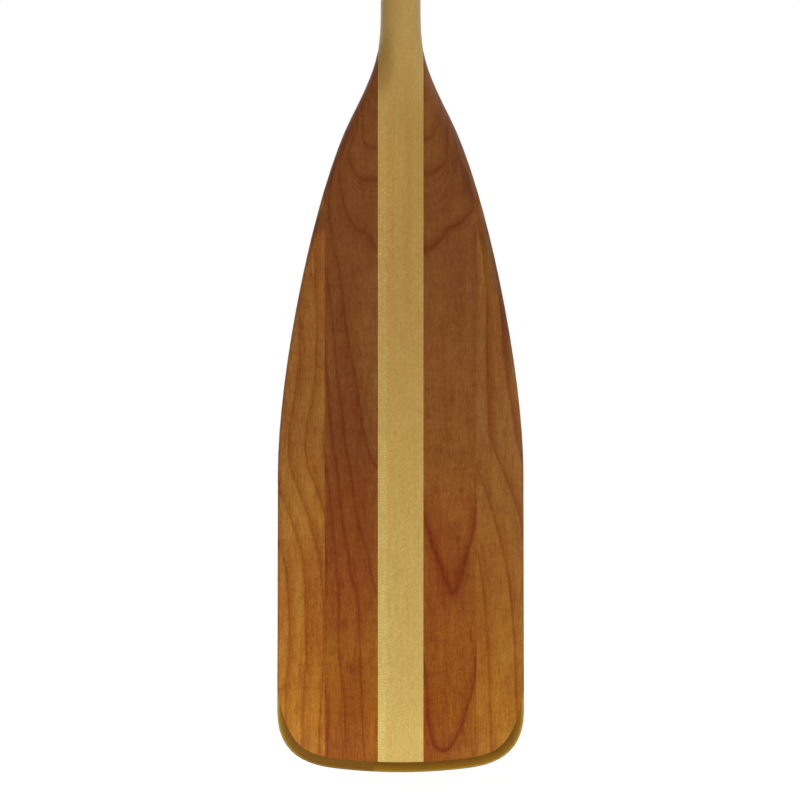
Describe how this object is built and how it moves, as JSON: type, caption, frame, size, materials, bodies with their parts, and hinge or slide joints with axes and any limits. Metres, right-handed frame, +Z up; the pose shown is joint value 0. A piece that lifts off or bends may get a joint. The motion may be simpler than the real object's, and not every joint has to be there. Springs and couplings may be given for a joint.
{
  "type": "canoe paddle",
  "caption": "Straight-shaft canoe paddle of laminated wood, with a wide square-shouldered blade, a resin-edged tip and a palm grip; it drives and steers an open canoe.",
  "frame": {"origin": "the tip's lowest point, on the paddle's centre line and in the blade's middle plane", "axes": "+Z up the shaft from the tip to the grip, +X across the blade's width, -Y out of the blade's front face"},
  "size_m": [0.1908, 0.035, 1.372],
  "materials": {
    "pale_wood": "pale straight-grained wood under clear gloss varnish",
    "dark_wood": "dark reddish brown wood under clear gloss varnish",
    "orange_wood": "orange brown wood under clear gloss varnish",
    "amber_resin": "cast amber resin, glossy and slightly clear"
  },
  "bodies": {
    "root": {"shaft": "pale_wood", "blade_inner_left": "dark_wood", "blade_inner_right": "dark_wood", "blade_outer_left": "orange_wood", "blade_outer_right": "orange_wood", "grip_inner_left": "dark_wood", "grip_inner_right": "dark_wood", "grip_outer_left": "orange_wood", "grip_outer_right": "orange_wood", "tip_guard": "amber_resin"}
  },
  "joints": []
}
